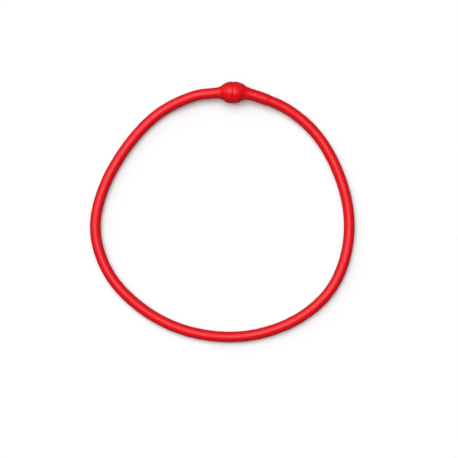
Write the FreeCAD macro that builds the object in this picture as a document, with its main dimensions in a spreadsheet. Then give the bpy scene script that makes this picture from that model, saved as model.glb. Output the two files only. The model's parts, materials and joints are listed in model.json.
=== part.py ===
import FreeCAD, Part
import Sketcher
import math
import os

# A wrist loop: one silicone cord, closed into a ring by a two-part magnetic ball.
# Millimetres, +Z up. The loop lies on z = 0, the ball at its +Y side, and the origin is under the
# middle of the whole loop. "Outwards" along the clasp means away from the seam between its halves.

SIDES = {"left": -1, "right": 1}  # the way each half of the clasp faces along X, away from the seam

# Points of the cord's route, from the left half of the ball round to the right one.
ROUTE = [
    (0.8, 33.8, 3.1), (-2, 33.6, 3.1), (-8, 32.8, 2.6), (-18.5, 28, 1.5), (-27.5, 18.5, 1.5),
    (-34, 7, 1.5), (-36.7, -5, 1.5), (-33, -17, 1.5), (-25, -26, 1.5), (-14.5, -32.5, 1.5),
    (-2.5, -35.5, 1.5), (9.5, -35.2, 1.5), (21.5, -30.8, 1.5), (31, -23, 1.5), (35.5, -12, 1.5),
    (36.3, 0, 1.5), (33, 12, 1.5), (27, 22.3, 1.5), (18.5, 29.3, 2), (11, 32.4, 2.9),
    (7.2, 33.5, 3.1), (5.3, 33.8, 3.1),
]
LEFT_BEND_RUN = 7  # the loop opens at the middle of the run that starts at this point
RIGHT_BEND_RUN = 13
CORNER_SHARE = 0.45  # share of the shorter run that a corner's arc takes up
SECTION_STEP = 0.5  # between the sections of a neck
BARB_COUNT = 3

sizes = {
    "cord_width": 3.0,
    "cord_bore": 1.2,
    "ball_width": 6.2,
    "seam_along": 3.0,  # where the ball's seam is, along X
    "seam_back": 33.8,  # and along Y
    "seam_round": 0.15,
    "left_ball_reach": 3.85,  # how far each half's ellipsoid would reach from the seam
    "right_ball_reach": 4.2,
    "flare_start": 2.4,  # where the neck starts inside the ball, from the seam
    "left_flare_width": 4.8,
    "right_flare_width": 5.1,
    "left_flare_end": 5.6,
    "right_flare_end": 6.2,
    "left_sleeve_end": 5.6,
    "right_sleeve_end": 10.4,
    "sleeve_wall": 0.1,
    "magnet_width": 4.0,
    "magnet_depth": 1.5,
    "magnet_chamfer": 0.15,
    "face_recess": 0.1,  # magnets lie this far behind the seam
    "cup_wall": 0.3,
    "cup_back": 0.4,
    "stem_width": 0.8,
    "stem_reach": 2.6,
    "barb_length": 0.8,
}

doc = FreeCAD.newDocument("WristLoop")
sheet = doc.addObject("Spreadsheet::Sheet", "Sizes")
for row, (name, value) in enumerate(sizes.items(), start=1):
    sheet.set("A%d" % row, name)
    sheet.set("B%d" % row, str(value))
    sheet.setAlias("B%d" % row, name)
doc.recompute()


def vector(point):
    return FreeCAD.Vector(*point)


def bind(made, **expressions):
    """Ties properties of an object to the sheet; a double underscore stands for a dot."""
    for name, expression in expressions.items():
        made.setExpression(name.replace("__", "."), expression)
    return made


# ---- the cord's line -------------------------------------------------------------------------

def corner_arc(before, corner, after):
    """The arc that rounds one corner of the route, as its start, middle, end and radius."""
    way_in = (corner - before).normalize()
    way_out = (after - corner).normalize()
    half_turn = way_in.getAngle(way_out) / 2
    reach = CORNER_SHARE * min((corner - before).Length, (after - corner).Length)
    radius = reach / math.tan(half_turn)
    inwards = (way_out - way_in).normalize()
    middle = corner + inwards * (radius / math.cos(half_turn) - radius)
    return corner - way_in * reach, middle, corner + way_out * reach, radius


def route_edges():
    """The route's edges in three lists: left stretch, back stretch and right stretch."""
    points = [vector(p) for p in ROUTE]
    stretches = [[]]
    radii = []
    here = points[0]
    for i in range(1, len(points)):
        if i - 1 in (LEFT_BEND_RUN, RIGHT_BEND_RUN):
            cut = (points[i - 1] + points[i]) / 2
            stretches[-1].append(Part.LineSegment(here, cut).toShape())
            stretches.append([])
            here = cut
        if i == len(points) - 1:
            stretches[-1].append(Part.LineSegment(here, points[i]).toShape())
            break
        start, middle, end, radius = corner_arc(points[i - 1], points[i], points[i + 1])
        stretches[-1].append(Part.LineSegment(here, start).toShape())
        stretches[-1].append(Part.Arc(start, middle, end).toShape())
        radii.append(radius)
        here = end
    print("arc radii", [round(r, 1) for r in radii], "smallest", round(min(radii), 1))
    return stretches


def station(edges, distance):
    """The point and direction at a distance along a row of edges."""
    for edge in edges:
        if distance <= edge.Length:
            where = edge.getParameterByLength(distance)
            return edge.valueAt(where), edge.tangentAt(where)
        distance -= edge.Length
    raise ValueError("the distance is past the end of the cord")


def swept(name, route, circle_width):
    """A round rod of one width along a route object."""
    first = route.Shape.Edges[0]
    circle = doc.addObject("Part::Circle", name + "_section")
    turn = FreeCAD.Rotation(FreeCAD.Vector(0, 0, 1), first.tangentAt(first.FirstParameter))
    circle.Placement = FreeCAD.Placement(first.valueAt(first.FirstParameter), turn)
    bind(circle, Radius="Sizes.%s / 2" % circle_width)
    rod = doc.addObject("Part::Sweep", name)
    rod.Sections = [circle]
    rod.Spine = (route, ["Edge%d" % (i + 1) for i in range(len(route.Shape.Edges))])
    rod.Solid = True
    return rod


def cord_stretch(label, edges):
    """One stretch of the hollow cord, and the solid rod that its sockets are cut with."""
    route = doc.addObject("Part::Feature", label + "_route")
    route.Shape = Part.Wire(edges)
    rod = swept(label + "_rod", route, "cord_width")
    bore = swept(label + "_bore", route, "cord_bore")
    cord = doc.addObject("Part::Cut", label)
    cord.Base = rod
    cord.Tool = bore
    return cord, rod


# ---- the clasp -------------------------------------------------------------------------------
# Distances in the clasp are measured outwards from its seam, along X.

CUP_RADIUS = "Sizes.magnet_width / 2 + Sizes.cup_wall"
CUP_DEPTH = "Sizes.magnet_depth + Sizes.cup_back"
CUP_END = "Sizes.face_recess + Sizes.magnet_depth + Sizes.cup_back"


def turned(kind, name, side, start, **expressions):
    """A round primitive about the clasp's axis, pointing outwards from a distance off the seam."""
    made = doc.addObject(kind, name)
    made.Placement.Rotation = FreeCAD.Rotation(FreeCAD.Vector(0, 1, 0), 90 * SIDES[side])
    return bind(
        made,
        Placement__Base__x="Sizes.seam_along + %d * (%s)" % (SIDES[side], start),
        Placement__Base__y="Sizes.seam_back",
        Placement__Base__z="Sizes.ball_width / 2",
        **expressions
    )


def joined(name, *parts):
    made = doc.addObject("Part::MultiFuse", name)
    made.Shapes = list(parts)
    return made


def less(name, base, tool):
    made = doc.addObject("Part::Cut", name)
    made.Base = base
    made.Tool = tool
    return made


def flat_edges(shape):
    """Numbers of the shape's edges that lie across the clasp's axis."""
    return [i for i, edge in enumerate(shape.Edges, start=1) if edge.BoundBox.XLength < 1e-6]


def lobe(side):
    """Half of the ball: an ellipsoid cut flat at the seam, with the seam's edge rounded."""
    radii = dict(Radius1="Sizes.%s_ball_reach" % side, Radius2="Sizes.ball_width / 2")
    ball = turned("Part::Ellipsoid", side + "_ellipsoid", side, "0", **radii)
    room = doc.addObject("Part::Box", side + "_room")
    bind(
        room,
        Length="Sizes.ball_width",
        Width="Sizes.ball_width",
        Height="Sizes.ball_width",
        Placement__Base__x="Sizes.seam_along + %g * Sizes.ball_width" % min(SIDES[side], 0),
        Placement__Base__y="Sizes.seam_back - Sizes.ball_width / 2",
    )
    half = doc.addObject("Part::Common", side + "_lobe")
    half.Base = ball
    half.Tool = room
    doc.recompute()
    rounded = doc.addObject("Part::Fillet", side + "_rounded_lobe")
    rounded.Base = half
    seam_round = sheet.seam_round
    rounded.Edges = [(i, seam_round, seam_round) for i in flat_edges(half.Shape)]
    return rounded


def neck(side, edges):
    """The neck and sleeve: round sections along the cord, narrowing from the ball."""
    flare_start = sheet.flare_start
    flare_end = sheet.get(side + "_flare_end")
    sleeve_end = sheet.get(side + "_sleeve_end")
    end_radius = sheet.cord_width / 2 + sheet.sleeve_wall
    extra_radius = sheet.get(side + "_flare_width") / 2 - end_radius
    cord_length = sum(edge.Length for edge in edges)
    cord_start = abs((ROUTE[0] if side == "left" else ROUTE[-1])[0] - sheet.seam_along)
    count = round((sleeve_end - flare_start) / SECTION_STEP)
    sections = []
    for i in range(count + 1):
        distance = flare_start + (sleeve_end - flare_start) * i / count
        left_to_go = max(0, (flare_end - distance) / (flare_end - flare_start))
        along = distance - cord_start
        point, direction = station(edges, along if side == "left" else cord_length - along)
        circle = Part.makeCircle(end_radius + extra_radius * left_to_go**2, point, direction)
        sections.append(Part.Wire([circle]))
    made = doc.addObject("Part::Feature", side + "_neck")
    made.Shape = Part.makeLoft(sections, True, False)
    return made


def ball_half(side, edges, rod):
    """The soft half of the ball with its neck, hollow for the cup and the cord."""
    outside = joined(side + "_outside", lobe(side), neck(side, edges))
    size = dict(Radius=CUP_RADIUS, Height=CUP_END)
    mouth = turned("Part::Cylinder", side + "_mouth", side, "0", **size)
    size = dict(Radius="Sizes.cord_bore / 2", Height="Sizes.stem_reach")
    stem_hole = turned("Part::Cylinder", side + "_stem_hole", side, CUP_END, **size)
    cupped = less(side + "_cupped", outside, mouth)
    drilled = less(side + "_drilled", cupped, stem_hole)
    return less(side + "_ball_half", drilled, rod)


def magnet(side):
    """A disc magnet with chamfered rims."""
    body = doc.addObject("PartDesign::Body", side + "_magnet")
    body.Placement.Rotation = FreeCAD.Rotation(FreeCAD.Vector(0, 0, 1), 90 - 90 * SIDES[side])
    bind(
        body,
        Placement__Base__x="Sizes.seam_along",
        Placement__Base__y="Sizes.seam_back",
        Placement__Base__z="Sizes.ball_width / 2",
    )
    outline = body.newObject("Sketcher::SketchObject", side + "_magnet_outline")
    plane = [f for f in body.Origin.OriginFeatures if f.Role == "YZ_Plane"][0]
    outline.AttachmentSupport = [(plane, "")]
    outline.MapMode = "FlatFace"
    bind(outline, AttachmentOffset__Base__z="Sizes.face_recess")
    middle, normal = FreeCAD.Vector(0, 0, 0), FreeCAD.Vector(0, 0, 1)
    outline.addGeometry(Part.Circle(middle, normal, sheet.magnet_width / 2), False)
    outline.addConstraint(Sketcher.Constraint("Coincident", 0, 3, -1, 1))
    outline.addConstraint(Sketcher.Constraint("Diameter", 0, sheet.magnet_width))
    outline.setExpression("Constraints[1]", "Sizes.magnet_width")
    disc = body.newObject("PartDesign::Pad", side + "_magnet_disc")
    disc.Profile = outline
    bind(disc, Length="Sizes.magnet_depth")
    doc.recompute()
    rims = body.newObject("PartDesign::Chamfer", side + "_magnet_rims")
    rims.Base = (disc, ["Edge%d" % i for i in flat_edges(disc.Shape)])
    bind(rims, Size="Sizes.magnet_chamfer")
    return body


def magnet_cup(side):
    """The steel cup round the magnet, with a barbed stem that holds the cord's end."""
    recess = "Sizes.face_recess"
    size = dict(Radius=CUP_RADIUS, Height=CUP_DEPTH)
    shell = turned("Part::Cylinder", side + "_cup_shell", side, recess, **size)
    size = dict(Radius="Sizes.magnet_width / 2", Height="Sizes.magnet_depth")
    inside = turned("Part::Cylinder", side + "_cup_inside", side, recess, **size)
    size = dict(Radius="Sizes.stem_width / 2", Height="Sizes.stem_reach")
    stem = turned("Part::Cylinder", side + "_stem", side, CUP_END, **size)
    size = dict(
        Radius1="Sizes.cord_bore / 2", Radius2="Sizes.stem_width / 2", Height="Sizes.barb_length"
    )
    barbs = []
    for i in range(1, BARB_COUNT + 1):
        start = CUP_END + " + Sizes.stem_reach - %d * Sizes.barb_length" % i
        barbs.append(turned("Part::Cone", "%s_barb_%d" % (side, i), side, start, **size))
    cup = less(side + "_cup", shell, inside)
    return joined(side + "_magnet_cup", cup, stem, *barbs)


# ---- the whole loop --------------------------------------------------------------------------

left_edges, back_edges, right_edges = route_edges()
cord_left, left_rod = cord_stretch("cord_left", left_edges)
cord_back, _ = cord_stretch("cord_back", back_edges)
cord_right, right_rod = cord_stretch("cord_right", right_edges)
ends = {"left": (left_edges, left_rod), "right": (right_edges, right_rod)}

subparts = [cord_left, cord_back, cord_right]
for side, (edges, rod) in ends.items():
    subparts += [ball_half(side, edges, rod), magnet(side), magnet_cup(side)]
doc.recompute()

for made in doc.Objects:
    if {"Invalid", "Error"} & set(made.State):
        raise RuntimeError("%s is in error" % made.Label)
for made in subparts:
    if made.Shape.isNull() or not made.Shape.isValid():
        raise RuntimeError("%s has no valid shape" % made.Label)

ring = math.pi * (sheet.cord_width**2 - sheet.cord_bore**2) / 4
for cord, edges in zip(subparts, (left_edges, back_edges, right_edges)):
    length = sum(edge.Length for edge in edges)
    share = cord.Shape.Volume / (ring * length)
    print("%s: %.1f mm long, volume %.4f of section times length" % (cord.Label, length, share))

os.makedirs("parts", exist_ok=True)
whole = FreeCAD.BoundBox()
for made in subparts:
    made.Shape.exportStep("parts/%s.step" % made.Label)
    whole.add(made.Shape.optimalBoundingBox())
    print("%s: %.2f mm3, %d solid" % (made.Label, made.Shape.Volume, len(made.Shape.Solids)))
print("whole loop:", whole)

# The sides open about upright axes at the cord's outer edge, at the two ends of the back stretch.
up = FreeCAD.Vector(0, 0, 1)
for side, edge, place in (
    ("left", back_edges[0], back_edges[0].FirstParameter),
    ("right", back_edges[-1], back_edges[-1].LastParameter),
):
    outwards = edge.tangentAt(place).cross(up) * (sheet.cord_width / 2)
    print(side, "side opens about", edge.valueAt(place) + outwards)
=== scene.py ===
import json
import math

import bmesh
import bpy
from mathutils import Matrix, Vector


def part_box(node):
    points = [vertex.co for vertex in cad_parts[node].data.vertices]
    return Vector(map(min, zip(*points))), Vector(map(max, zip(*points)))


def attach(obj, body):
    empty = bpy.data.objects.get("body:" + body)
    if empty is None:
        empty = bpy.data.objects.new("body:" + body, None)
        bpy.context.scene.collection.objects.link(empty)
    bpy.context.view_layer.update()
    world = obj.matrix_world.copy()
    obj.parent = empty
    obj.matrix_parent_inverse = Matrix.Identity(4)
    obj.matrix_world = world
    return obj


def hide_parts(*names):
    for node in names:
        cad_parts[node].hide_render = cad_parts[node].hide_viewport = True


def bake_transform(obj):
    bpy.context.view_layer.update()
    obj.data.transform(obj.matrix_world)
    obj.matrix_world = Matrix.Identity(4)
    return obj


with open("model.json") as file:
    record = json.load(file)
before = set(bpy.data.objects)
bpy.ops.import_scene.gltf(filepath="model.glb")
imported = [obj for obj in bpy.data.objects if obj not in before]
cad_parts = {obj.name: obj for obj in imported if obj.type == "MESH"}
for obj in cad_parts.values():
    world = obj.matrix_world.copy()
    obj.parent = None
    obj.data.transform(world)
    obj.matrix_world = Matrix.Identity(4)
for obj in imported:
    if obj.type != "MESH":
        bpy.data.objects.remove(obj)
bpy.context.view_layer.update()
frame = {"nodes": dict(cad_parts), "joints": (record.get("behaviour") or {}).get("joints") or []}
millimetre = 0.001
up = Vector((0, 0, 1))


# ---- camera, floor and light

cameraLook = {"height": 0.9, "focalLength": 250, "across": 0.00195, "along": -0.00473}

studioLook = {
    "floorSize": 8,
    "floorWhite": 0.78,
    "floorMottle": 0.006,
    "floorFibres": 900,
    "floorRoughness": 0.9,
    "backdropRadius": 3.9,
    "backdropWhite": 0.96,
    "backdropMottle": 0.01,
    "backdropClouds": 2,
    "lights": [  # name, tilt off straight down, turn, width of the soft light, power
        ("softboxAbove", 13, 112, 52, 3.1),
        ("softboxLeft", 46, 140, 56, 1.1),
    ],
    "roomGlow": 0.12,
}


def place(thing, name):
    made = bpy.data.objects.new(name, thing)
    bpy.context.scene.collection.objects.link(made)
    return made


def setUpCamera(look):
    lens = bpy.data.cameras.new("camera")
    lens.lens = look["focalLength"]
    camera = place(lens, "camera")
    camera.location = (look["across"], look["along"], look["height"])
    bpy.context.scene.camera = camera
    bpy.context.scene.view_settings.view_transform = "Standard"


setUpCamera(cameraLook)
print("camera looks straight down from", cameraLook["height"], "m")


# ---- shader helpers

class Wire:  # a shader socket; arithmetic on it adds Math nodes
    def __init__(self, graph, socket):
        self.graph = graph
        self.socket = socket

    def math(self, operation, *values):
        settings = {"operation": operation}
        return self.graph.node("ShaderNodeMath", settings, dict(enumerate(values)))

    def __add__(self, other):
        return self.math("ADD", self, other)

    def __mul__(self, other):
        return self.math("MULTIPLY", self, other)

    __radd__ = __add__
    __rmul__ = __mul__

    def wave(self, pitch):  # 0 to 1 and back once in every pitch
        turns = self * (2 * math.pi / pitch)
        return self.math("SINE", turns) * 0.5 + 0.5


class Graph:  # the nodes of one material or of the world
    def __init__(self, owner):
        owner.use_nodes = True
        self.tree = owner.node_tree
        self.tree.nodes.clear()

    def node(self, kind, settings=None, sockets=None, output=0):
        made = self.tree.nodes.new(kind)
        for name, value in (settings or {}).items():
            if name == "stops":
                self.setStops(made.color_ramp, value)
            else:
                setattr(made, name, value)
        for name, value in (sockets or {}).items():
            if isinstance(value, Wire):
                self.tree.links.new(value.socket, made.inputs[name])
            else:
                made.inputs[name].default_value = value
        return Wire(self, made.outputs[output]) if made.outputs else made

    def setStops(self, ramp, stops):
        while len(ramp.elements) < len(stops):
            ramp.elements.new(1)
        for element, (position, level) in zip(ramp.elements, stops):
            element.position = position
            element.color = (level, level, level, 1)

    def spread(self, value, low, high):  # a value from 0 to 1, moved to run from low to high
        return value * (high - low) + low

    def placeInFrame(self):
        return self.node("ShaderNodeTexCoord", {}, {}, output=3)

    def noise(self, coordinates, scale, detail=2, roughness=0.5):
        sockets = {"Vector": coordinates, "Scale": scale, "Detail": detail, "Roughness": roughness}
        return self.node("ShaderNodeTexNoise", {}, sockets)

    def stretched(self, coordinates, factors):
        sockets = {0: coordinates, 1: factors}
        return self.node("ShaderNodeVectorMath", {"operation": "MULTIPLY"}, sockets)

    def tints(self, factor, first, second):
        sockets = {0: factor, 6: (*first, 1), 7: (*second, 1)}
        return self.node("ShaderNodeMix", {"data_type": "RGBA"}, sockets, output=2)

    def nearlyWhite(self, factor, white, mottle):
        return self.tints(factor, (white - mottle,) * 3, (white + mottle,) * 3)

    def bump(self, height, depth, below=None):
        sockets = {"Height": height, "Distance": depth, "Strength": 1}
        if below is not None:
            sockets["Normal"] = below
        return self.node("ShaderNodeBump", {}, sockets)


def finishFrom(graph, sockets):
    shader = graph.node("ShaderNodeBsdfPrincipled", {}, sockets)
    graph.node("ShaderNodeOutputMaterial", {}, {"Surface": shader})


def newMaterial(name):
    material = bpy.data.materials.new(name)
    return material, Graph(material)


def softLight(name, tilt, turn, width, power):
    light = bpy.data.lights.new(name, "SUN")
    light.energy = power
    light.angle = math.radians(width)
    lamp = place(light, name)
    tilt, turn = math.radians(tilt), math.radians(turn)
    flat = math.sin(tilt)
    towards = Vector((flat * math.cos(turn), flat * math.sin(turn), math.cos(tilt)))
    lamp.rotation_euler = towards.to_track_quat("Z", "Y").to_euler()


def lightUpStudio(look):
    for name, tilt, turn, width, power in look["lights"]:
        softLight(name, tilt, turn, width, power)
    room = bpy.data.worlds.new("room")
    bpy.context.scene.world = room
    graph = Graph(room)
    glow = graph.node("ShaderNodeBackground", {}, {"Strength": look["roomGlow"]})
    graph.node("ShaderNodeOutputWorld", {}, {"Surface": glow})


def paleBackdrop(look):
    # a dome that only the camera sees, so that low views have no dark horizon
    material, graph = newMaterial("paperBackdrop")
    clouds = graph.noise(graph.placeInFrame(), look["backdropClouds"])
    finishFrom(graph, {
        "Base Color": (0, 0, 0, 1),
        "Emission Color": graph.nearlyWhite(clouds, look["backdropWhite"], look["backdropMottle"]),
        "Emission Strength": 1,
    })
    mesh = bpy.data.meshes.new("backdrop")
    shape = bmesh.new()
    bmesh.ops.create_uvsphere(shape, u_segments=64, v_segments=32, radius=look["backdropRadius"])
    shape.to_mesh(mesh)
    shape.free()
    mesh.shade_smooth()
    mesh.materials.append(material)
    dome = place(mesh, "backdrop")
    dome.visible_diffuse = False
    dome.visible_glossy = False
    dome.visible_transmission = False
    dome.visible_shadow = False


def paleFloor(look):
    material, graph = newMaterial("paperFloor")
    fibres = graph.noise(graph.placeInFrame(), look["floorFibres"], detail=4)
    finishFrom(graph, {
        "Base Color": graph.nearlyWhite(fibres, look["floorWhite"], look["floorMottle"]),
        "Roughness": look["floorRoughness"],
        "Specular IOR Level": 0,
    })
    half = look["floorSize"] / 2
    corners = [(-half, -half, 0), (half, -half, 0), (half, half, 0), (-half, half, 0)]
    mesh = bpy.data.meshes.new("floor")
    mesh.from_pydata(corners, [], [(0, 1, 2, 3)])
    mesh.materials.append(material)
    floor = place(mesh, "floor")
    floor.visible_glossy = False  # its reflection would wash out the edges of the cord


# ---- the cord

cordLook = {
    "route": [  # from the ball's left half round to its right half
        (0.0008, 0.0338, 0.0031), (-0.002, 0.0336, 0.0031), (-0.0081, 0.0331, 0.0026),
        (-0.0186, 0.0281, 0.0015), (-0.0274, 0.0184, 0.0015), (-0.0339, 0.007, 0.0015),
        (-0.0366, -0.005, 0.0015), (-0.0329, -0.017, 0.0015), (-0.025, -0.0259, 0.0015),
        (-0.0145, -0.0324, 0.0015), (-0.0025, -0.0354, 0.0015), (0.0095, -0.035, 0.0015),
        (0.0214, -0.0307, 0.0015), (0.0308, -0.0228, 0.0015), (0.0355, -0.012, 0.0015),
        (0.0362, 0, 0.0015), (0.0329, 0.012, 0.0015), (0.027, 0.0223, 0.0015),
        (0.0186, 0.0294, 0.002), (0.011, 0.0324, 0.0029), (0.0072, 0.0335, 0.0031),
        (0.0053, 0.0338, 0.0031),
    ],
    "width": 0.003,
    "bore": 0.0012,
    "pointsPerRun": 24,
    "sides": 48,
    "halfLengths": {"left": 0.112, "right": 0.105},
    "bendReach": {"left": (0.026, 0.021), "right": (0.025, 0.027)},  # to the back, to the ball
}


def routeLine(look):
    curve = bpy.data.curves.new("cordRoute", "CURVE")
    curve.dimensions = "3D"
    spline = curve.splines.new("NURBS")
    spline.points.add(len(look["route"]) - 1)
    for point, corner in zip(spline.points, look["route"]):
        point.co = (*corner, 1)
    spline.order_u = 3
    spline.use_endpoint_u = True
    spline.resolution_u = look["pointsPerRun"]
    guide = bpy.data.objects.new("cordGuide", curve)
    mesh = bpy.data.meshes.new_from_object(guide)
    line = [vertex.co.copy() for vertex in mesh.vertices]
    bpy.data.meshes.remove(mesh)
    bpy.data.objects.remove(guide)
    bpy.data.curves.remove(curve)
    return line


class Line:  # a centreline: its points, their distances along it and its directions
    def __init__(self, points):
        self.points = points
        self.distances = [0]
        for before, after in zip(points, points[1:]):
            self.distances.append(self.distances[-1] + (after - before).length)
        ahead = points[1:] + points[-1:]
        behind = points[:1] + points[:-1]
        self.directions = [(a - b).normalized() for a, b in zip(ahead, behind)]

    def at(self, distance):
        i = 1
        while i < len(self.points) - 1 and self.distances[i] < distance:
            i += 1
        start, end = self.distances[i - 1], self.distances[i]
        share = (distance - start) / (end - start)
        point = self.points[i - 1].lerp(self.points[i], share)
        return point, self.directions[i - 1].lerp(self.directions[i], share).normalized()

    def nearest(self, spot):
        return min(range(len(self.points)), key=lambda i: (self.points[i] - spot).length)


sharpTurn = math.radians(30)  # an outline that turns by more than this has a sharp edge there


def turnedPiece(name, line, outline, sides):
    # a ring of points at each (distance, radius) of a closed outline, along the line
    points, skin = [], []
    for distance, radius in outline:
        centre, direction = line.at(distance)
        across = direction.cross(up).normalized()
        over = across.cross(direction)
        for i in range(sides):
            angle = 2 * math.pi * i / sides
            x, y = radius * math.cos(angle), radius * math.sin(angle)
            points.append(centre + across * x + over * y)
            skin.append((x, y, distance))
    count = len(outline)
    faces = []
    for ring in range(count):
        after = (ring + 1) % count
        for i in range(sides):
            j = (i + 1) % sides
            faces.append((ring * sides + i, ring * sides + j, after * sides + j, after * sides + i))
    mesh = bpy.data.meshes.new(name)
    mesh.from_pydata(points, [], faces)
    straightened = mesh.attributes.new("straightened", "FLOAT_VECTOR", "POINT")
    for i, spot in enumerate(skin):
        straightened.data[i].vector = spot
    mesh.shade_smooth()
    corners = [isCorner(outline, ring) for ring in range(count)]
    for edge in mesh.edges:
        first, second = (vertex // sides for vertex in edge.vertices)
        edge.use_edge_sharp = first == second and corners[first]
    faceOutwards(mesh)
    return place(mesh, name)


def isCorner(outline, ring):
    here = Vector(outline[ring])
    way = here - Vector(outline[ring - 1])
    wayOn = Vector(outline[(ring + 1) % len(outline)]) - here
    return way.angle(wayOn, 0) > sharpTurn


def faceOutwards(mesh):
    shape = bmesh.new()
    shape.from_mesh(mesh)
    bmesh.ops.recalc_face_normals(shape, faces=shape.faces)
    shape.to_mesh(mesh)
    shape.free()


siliconeLook = {
    "deepRed": (0.91, 0.0012, 0.009),
    "brightRed": (1.0, 0.0024, 0.014),
    "cloudScale": 70,
    "mottleScale": 1400,
    "cloudShare": 0.7,  # of the colour; the mottle has the rest
    "skinTint": (0.72, 0.6, 0.6),  # the clear skin over the pigment, deeper where it turns away
    "skinBend": 1.06,
    "skinRoughness": 0.5,
    "roughness": (0.35, 0.44),
    "wipeScale": 500,
    "wipeStretch": 0.12,
    "wipeShare": 0.6,  # of the roughness; the mottle has the rest
    "shine": 0.46,
    "glow": 0.08,  # light that goes in and comes out again
    "glowDepth": 0.0006,
    "glowSpread": (1, 0.2, 0.1),
    "grainScale": 9000,
    "grainDepth": 0.000004,
    "streakScale": 3500,
    "streakStretch": 0.015,
    "streakDepth": 0.000006,
}


def silicone(name, look, streaked):
    material, graph = newMaterial(name)
    skin = graph.node("ShaderNodeAttribute", {"attribute_name": "straightened"}, {}, output=1)
    cloud = graph.noise(skin, look["cloudScale"], detail=3)
    mottle = graph.noise(skin, look["mottleScale"], detail=3)
    tone = cloud * look["cloudShare"] + mottle * (1 - look["cloudShare"])
    wiped = graph.stretched(skin, (1, 1, look["wipeStretch"]))
    wipes = graph.noise(wiped, look["wipeScale"], detail=4)
    wear = wipes * look["wipeShare"] + mottle * (1 - look["wipeShare"])
    normal = graph.bump(graph.noise(skin, look["grainScale"]), look["grainDepth"])
    if streaked:  # fine lines that the die leaves along an extruded cord
        drawn = graph.stretched(skin, (1, 1, look["streakStretch"]))
        streaks = graph.noise(drawn, look["streakScale"], detail=3)
        normal = graph.bump(streaks, look["streakDepth"], below=normal)
    finishFrom(graph, {
        "Base Color": graph.tints(tone, look["deepRed"], look["brightRed"]),
        "Roughness": graph.spread(wear, *look["roughness"]),
        "Normal": normal,
        "Specular IOR Level": look["shine"],
        "Subsurface Weight": look["glow"],
        "Subsurface Radius": look["glowSpread"],
        "Subsurface Scale": look["glowDepth"],
        "Coat Weight": 1,
        "Coat Roughness": look["skinRoughness"],
        "Coat IOR": look["skinBend"],
        "Coat Tint": (*look["skinTint"], 1),
    })
    return material


def makeCord(look, silicone):
    line = Line(routeLine(look))
    back = min(range(len(line.points)), key=lambda i: line.points[i].y)
    ends = {"left": (0, back), "right": (back, len(line.points) - 1)}
    middles = {joint["child"]: Vector(joint["pos_m"]) for joint in frame["joints"]}
    for side, (first, last) in ends.items():
        stations = line.distances[first:last + 1]
        wall = [(distance, look["width"] / 2) for distance in stations]
        wall += [(distance, look["bore"] / 2) for distance in reversed(stations)]
        piece = turnedPiece(side + "CordHalf", line, wall, look["sides"])
        piece.data.materials.append(silicone)
        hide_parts("cord_" + side, "cord_back")
        middle = line.nearest(middles[side + "_side"])
        way = line.directions[middle] * (-1 if side == "left" else 1)
        toBack, toBall = look["bendReach"][side]
        start = line.points[middle] - way * toBack
        end = line.points[middle] + way * toBall
        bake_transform(piece)
    return line


lightUpStudio(studioLook)
paleBackdrop(studioLook)
paleFloor(studioLook)
print("studio ready")
cordLine = makeCord(cordLook, silicone("cordSilicone", siliconeLook, streaked=True))
print("cord made:", round(cordLine.distances[-1] * 1000, 1), "mm")


# ---- the ball

ballLook = {
    "reach": {"left": 0.00385, "right": 0.0042},
    "seamRound": 0.00005,
    "seamDip": 0.00018,  # how far the skin sinks towards the seam
    "seamReach": 0.0009,
    "neckStart": 0.0026,
    "neckRadius": {"left": 0.00205, "right": 0.0022},
    "neckEnd": {"left": 0.0052, "right": 0.0057},
    "sleeveEnd": {"left": 0.0056, "right": 0.0104},
    "sleeveRadius": {"left": 0.00152, "right": 0.00162},
    "endReach": 0.0005,  # where the sleeve sinks to the cord at its end
    "crease": 0.0001,  # how softly the bulge runs into the neck
    "step": 0.0001,
    "sides": 96,
    "cupRadius": 0.0023,
    "cupDepth": 0.002,
    "mouthRound": 0.00008,
    "cornerSteps": 5,
    "lipHeight": 0.00002,  # how far the sleeve stands off the cord at its end
}


def roundCorner(centre, radius, start, stop):
    # points of an arc in the outline, angles in degrees from the line's own direction
    steps = ballLook["cornerSteps"]
    angles = [math.radians(start + (stop - start) * i / steps) for i in range(steps + 1)]
    return [(centre[0] + radius * math.cos(a), centre[1] + radius * math.sin(a)) for a in angles]


def ballOutline(look, side, radius, cordStart):
    neckEnd, sleeveEnd = look["neckEnd"][side], look["sleeveEnd"][side]
    sleeve = look["sleeveRadius"][side]
    cordRadius, boreRadius = cordLook["width"] / 2, cordLook["bore"] / 2
    endDip = sleeve - cordRadius - look["lipHeight"]

    def outside(distance):
        bulge = radius * math.sqrt(max(0, 1 - (distance / look["reach"][side]) ** 2))
        left = (neckEnd - distance) / (neckEnd - look["neckStart"])
        neck = sleeve + (look["neckRadius"][side] - sleeve) * min(1, max(0, left)) ** 2
        dip = look["seamDip"] * max(0, 1 - distance / look["seamReach"]) ** 2
        dip += endDip * max(0, 1 - (sleeveEnd - distance) / look["endReach"]) ** 2
        return (bulge + neck + math.hypot(bulge - neck, look["crease"])) / 2 - dip

    def steps(start, end):
        count = round(abs(end - start) / look["step"])
        return [start + (end - start) * i / count for i in range(count + 1)]

    seam, mouth = look["seamRound"], look["mouthRound"]
    outline = roundCorner((seam, outside(seam) - seam), seam, 180, 90)[:-1]
    outline += [(distance, outside(distance)) for distance in steps(seam, sleeveEnd)]
    outline += [(distance, cordRadius) for distance in steps(sleeveEnd, cordStart)]
    outline += [(cordStart, boreRadius), (look["cupDepth"], boreRadius)]
    outline += [(look["cupDepth"], look["cupRadius"])]
    outline += roundCorner((mouth, look["cupRadius"] + mouth), mouth, 270, 180)
    return outline


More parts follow.
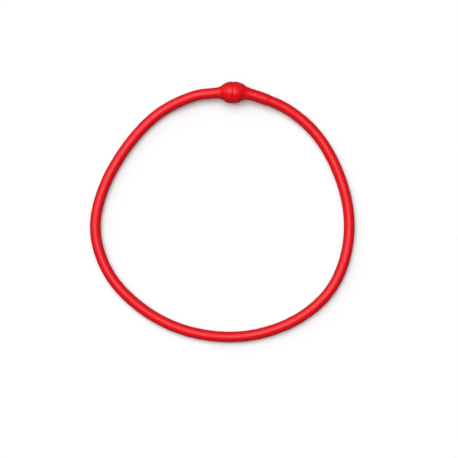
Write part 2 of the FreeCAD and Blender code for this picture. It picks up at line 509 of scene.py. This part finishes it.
def makeBall(look, cordLine, silicone):
    # each half turns about a line from the seam, straight at first and then along the cord
    low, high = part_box("left_ball_half")
    magnetLow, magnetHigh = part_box("left_magnet")
    middle = (magnetLow + magnetHigh) / 2
    seamCentre = Vector((high.x, middle.y, middle.z))
    radius = (high.z - low.z) / 2
    for side, outwards in (("left", -1), ("right", 1)):
        cordPoints = cordLine.points if side == "left" else cordLine.points[::-1]
        axis = [seamCentre + Vector((outwards * millimetre * i, 0, 0)) for i in range(3)]
        line = Line(axis + cordPoints[:len(cordPoints) // 4])
        cordStart = line.distances[len(axis)]
        outline = ballOutline(look, side, radius, cordStart)
        piece = turnedPiece(side + "BallHalf", line, outline, look["sides"])
        piece.data.materials.append(silicone)
        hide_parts(side + "_ball_half")
        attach(piece, side + "_side")


makeBall(ballLook, cordLine, silicone("ballSilicone", siliconeLook, streaked=False))
print("ball made")


# ---- magnets and their cups

metalLook = {
    "plateClouds": 900,
    "scuffScale": 2600,
    "scuffStretch": 9,
    "scuffEdges": (0.42, 0.62),  # noise below the first is clean plate, above the second a mark
    "steelClouds": 1100,
    "cloudShare": 0.7,  # of the steel's tone; the lathe lines have the rest
    "nickelDark": (0.60, 0.57, 0.52),
    "nickelLight": (0.78, 0.76, 0.71),
    "nickelRoughness": (0.10, 0.24),
    "steelDark": (0.40, 0.41, 0.43),
    "steelLight": (0.60, 0.61, 0.63),
    "steelRoughness": (0.24, 0.38),
    "lathePitch": 0.00012,
    "scratchDepth": 0.000002,
    "latheDepth": 0.000003,
}


def nickelPlate(look):
    material, graph = newMaterial("nickelPlate")
    place3d = graph.placeInFrame()
    cloud = graph.noise(place3d, look["plateClouds"], detail=4)
    scuffed = graph.stretched(place3d, (1, look["scuffStretch"], 1))
    scuffs = graph.noise(scuffed, look["scuffScale"], detail=5, roughness=0.7)
    clean, marked = look["scuffEdges"]
    marks = graph.node("ShaderNodeValToRGB", {"stops": [(clean, 0), (marked, 1)]}, {"Fac": scuffs})
    finishFrom(graph, {
        "Base Color": graph.tints(cloud, look["nickelDark"], look["nickelLight"]),
        "Metallic": 1,
        "Roughness": graph.spread(marks, *look["nickelRoughness"]),
        "Normal": graph.bump(scuffs, look["scratchDepth"]),
    })
    return material


def turnedSteel(look, axis):
    material, graph = newMaterial("turnedSteel")
    place3d = graph.placeInFrame()
    apart = {"operation": "SUBTRACT"}
    fromAxis = graph.node("ShaderNodeVectorMath", apart, {0: place3d, 1: axis})
    flat = graph.stretched(fromAxis, (0, 1, 1))
    outFromAxis = graph.node("ShaderNodeVectorMath", {"operation": "LENGTH"}, {0: flat}, output=1)
    along = graph.node("ShaderNodeSeparateXYZ", {}, {0: place3d})
    lines = (outFromAxis + along).wave(look["lathePitch"])
    cloud = graph.noise(place3d, look["steelClouds"], detail=4)
    tone = cloud * look["cloudShare"] + lines * (1 - look["cloudShare"])
    finishFrom(graph, {
        "Base Color": graph.tints(tone, look["steelDark"], look["steelLight"]),
        "Metallic": 1,
        "Roughness": graph.spread(tone, *look["steelRoughness"]),
        "Normal": graph.bump(lines, look["latheDepth"]),
    })
    return material


def finishMetals(look):
    low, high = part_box("left_magnet")
    nickel = nickelPlate(look)
    steel = turnedSteel(look, (low + high) / 2)
    for side in ("left", "right"):
        for node, material in ((side + "_magnet", nickel), (side + "_magnet_cup", steel)):
            materials = frame["nodes"][node].data.materials
            materials.clear()
            materials.append(material)


finishMetals(metalLook)
print("metals finished")
